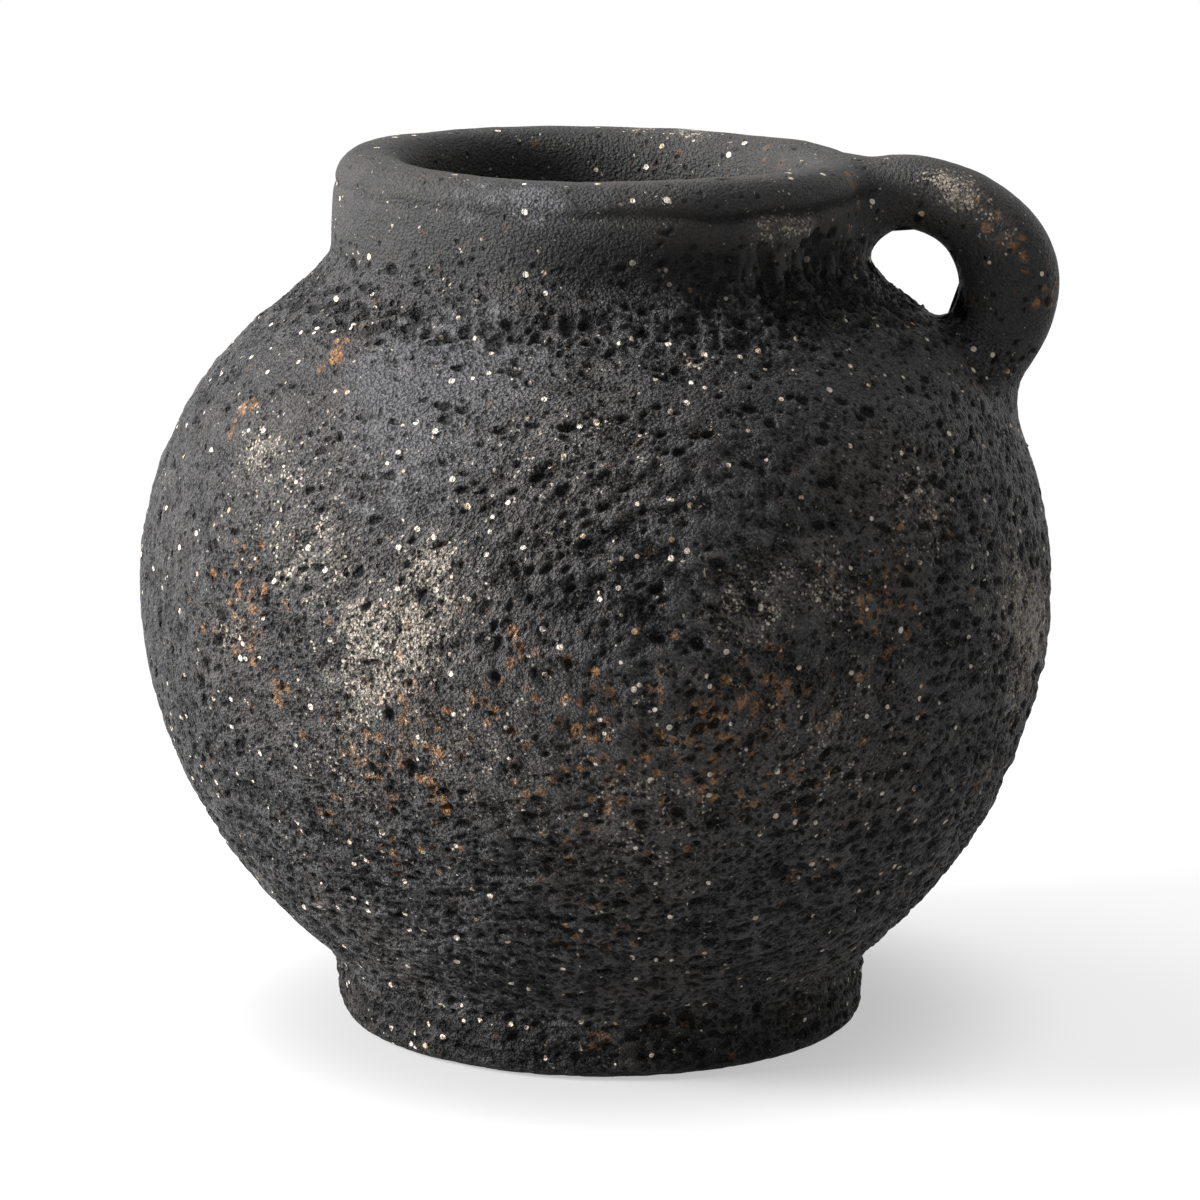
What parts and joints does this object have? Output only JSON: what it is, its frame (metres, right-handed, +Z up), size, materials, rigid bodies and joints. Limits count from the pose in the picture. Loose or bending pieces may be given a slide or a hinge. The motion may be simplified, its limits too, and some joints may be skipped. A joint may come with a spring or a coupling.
{
  "type": "earthenware jar",
  "caption": "Small hand-built black earthenware jar with a thick rounded lip, a ring foot and a loop handle from lip to shoulder.",
  "frame": {"origin": "on the jar's axis at the level its ring foot stands on", "axes": "+Z up out of the mouth, +X towards the handle"},
  "size_m": [0.126, 0.1254, 0.1205],
  "materials": {
    "black_clay": "black-fired coarse earthenware, unglazed, pitted, with pale and rust temper grains",
    "burnished_clay": "the same clay, smoothed by wet fingers on the lip, collar and handle",
    "raw_base": "the same clay, scraped and worn where it stands"
  },
  "bodies": {
    "root": {"base_disc": "raw_base", "lower_body": "black_clay", "upper_body": "black_clay", "foot_ring": "raw_base", "foot_seam_clay": "black_clay", "neck_collar": "burnished_clay", "neck_seam_clay": "black_clay", "lip_coil": "burnished_clay", "handle_loop": "burnished_clay", "handle_lip_pad": "burnished_clay", "handle_shoulder_pad": "black_clay"}
  },
  "joints": []
}
